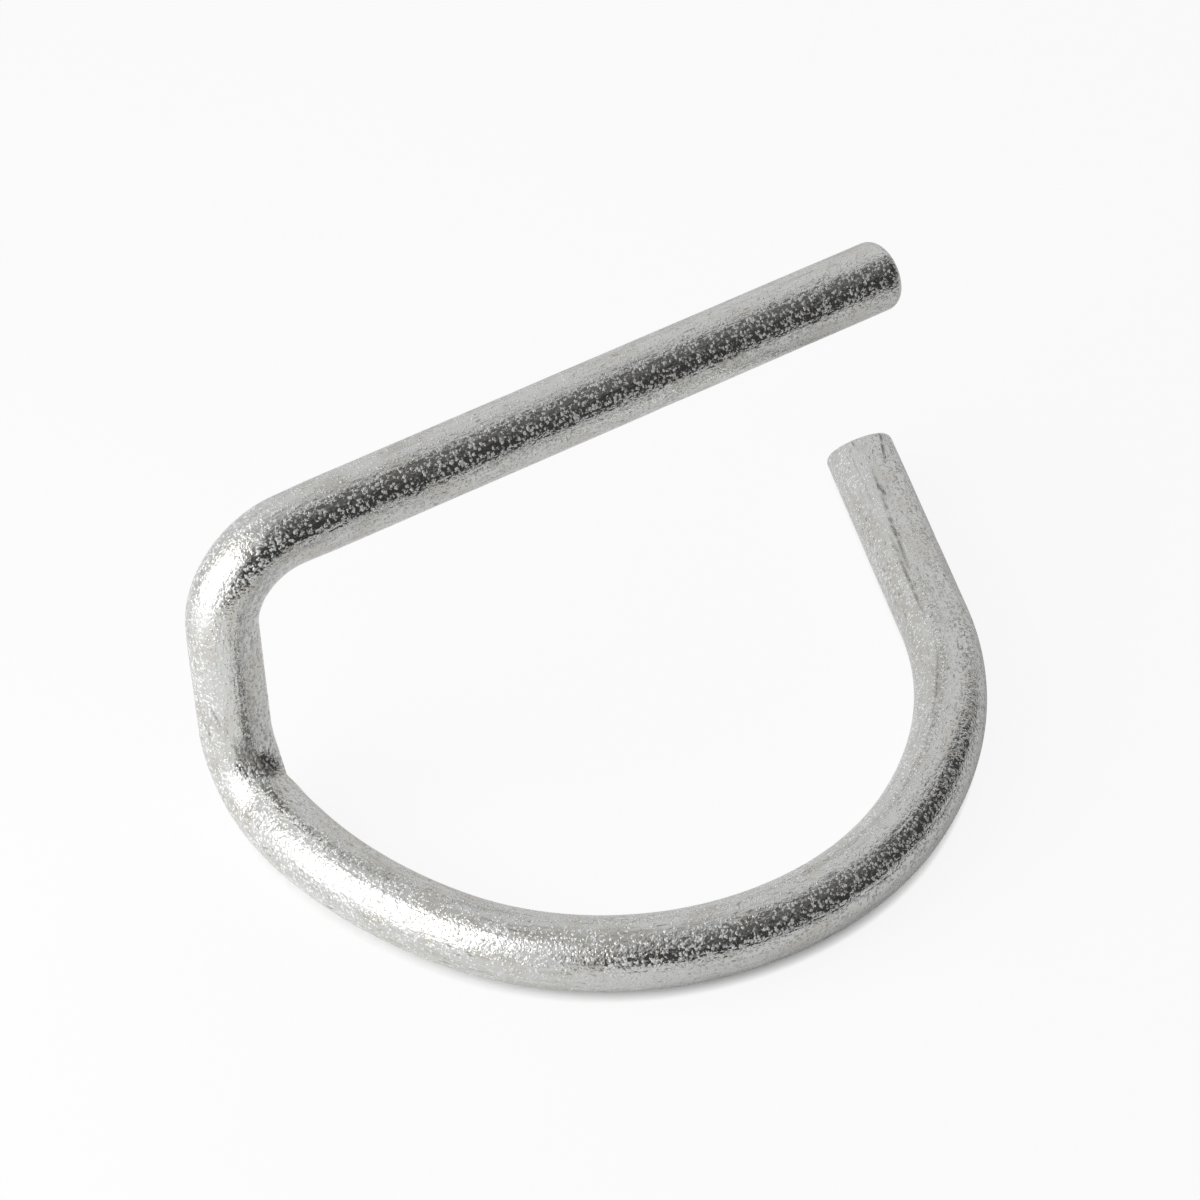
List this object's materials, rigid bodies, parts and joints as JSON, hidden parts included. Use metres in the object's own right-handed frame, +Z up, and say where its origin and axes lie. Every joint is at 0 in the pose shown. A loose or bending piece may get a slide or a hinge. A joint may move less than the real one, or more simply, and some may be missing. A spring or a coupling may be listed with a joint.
{
  "type": "scaffold pigtail pin",
  "caption": "Round steel rod bent into a straight locking shank and a curled pigtail that swings round a scaffold tube to keep the pin in.",
  "frame": {"origin": "on the shank's axis, halfway along its straight stretch, where the axis of the tube it locks passes", "axes": "+X along the shank to its tip, +Z up with the pin lying on its pigtail, -Y towards the side that the pigtail leaves on"},
  "size_m": [0.094, 0.0667, 0.0385],
  "materials": {
    "galvanised_steel": "zinc plated, pale grey, with a fine sparkling grain"
  },
  "bodies": {
    "root": {"pigtail_pin": "galvanised_steel"}
  },
  "joints": []
}
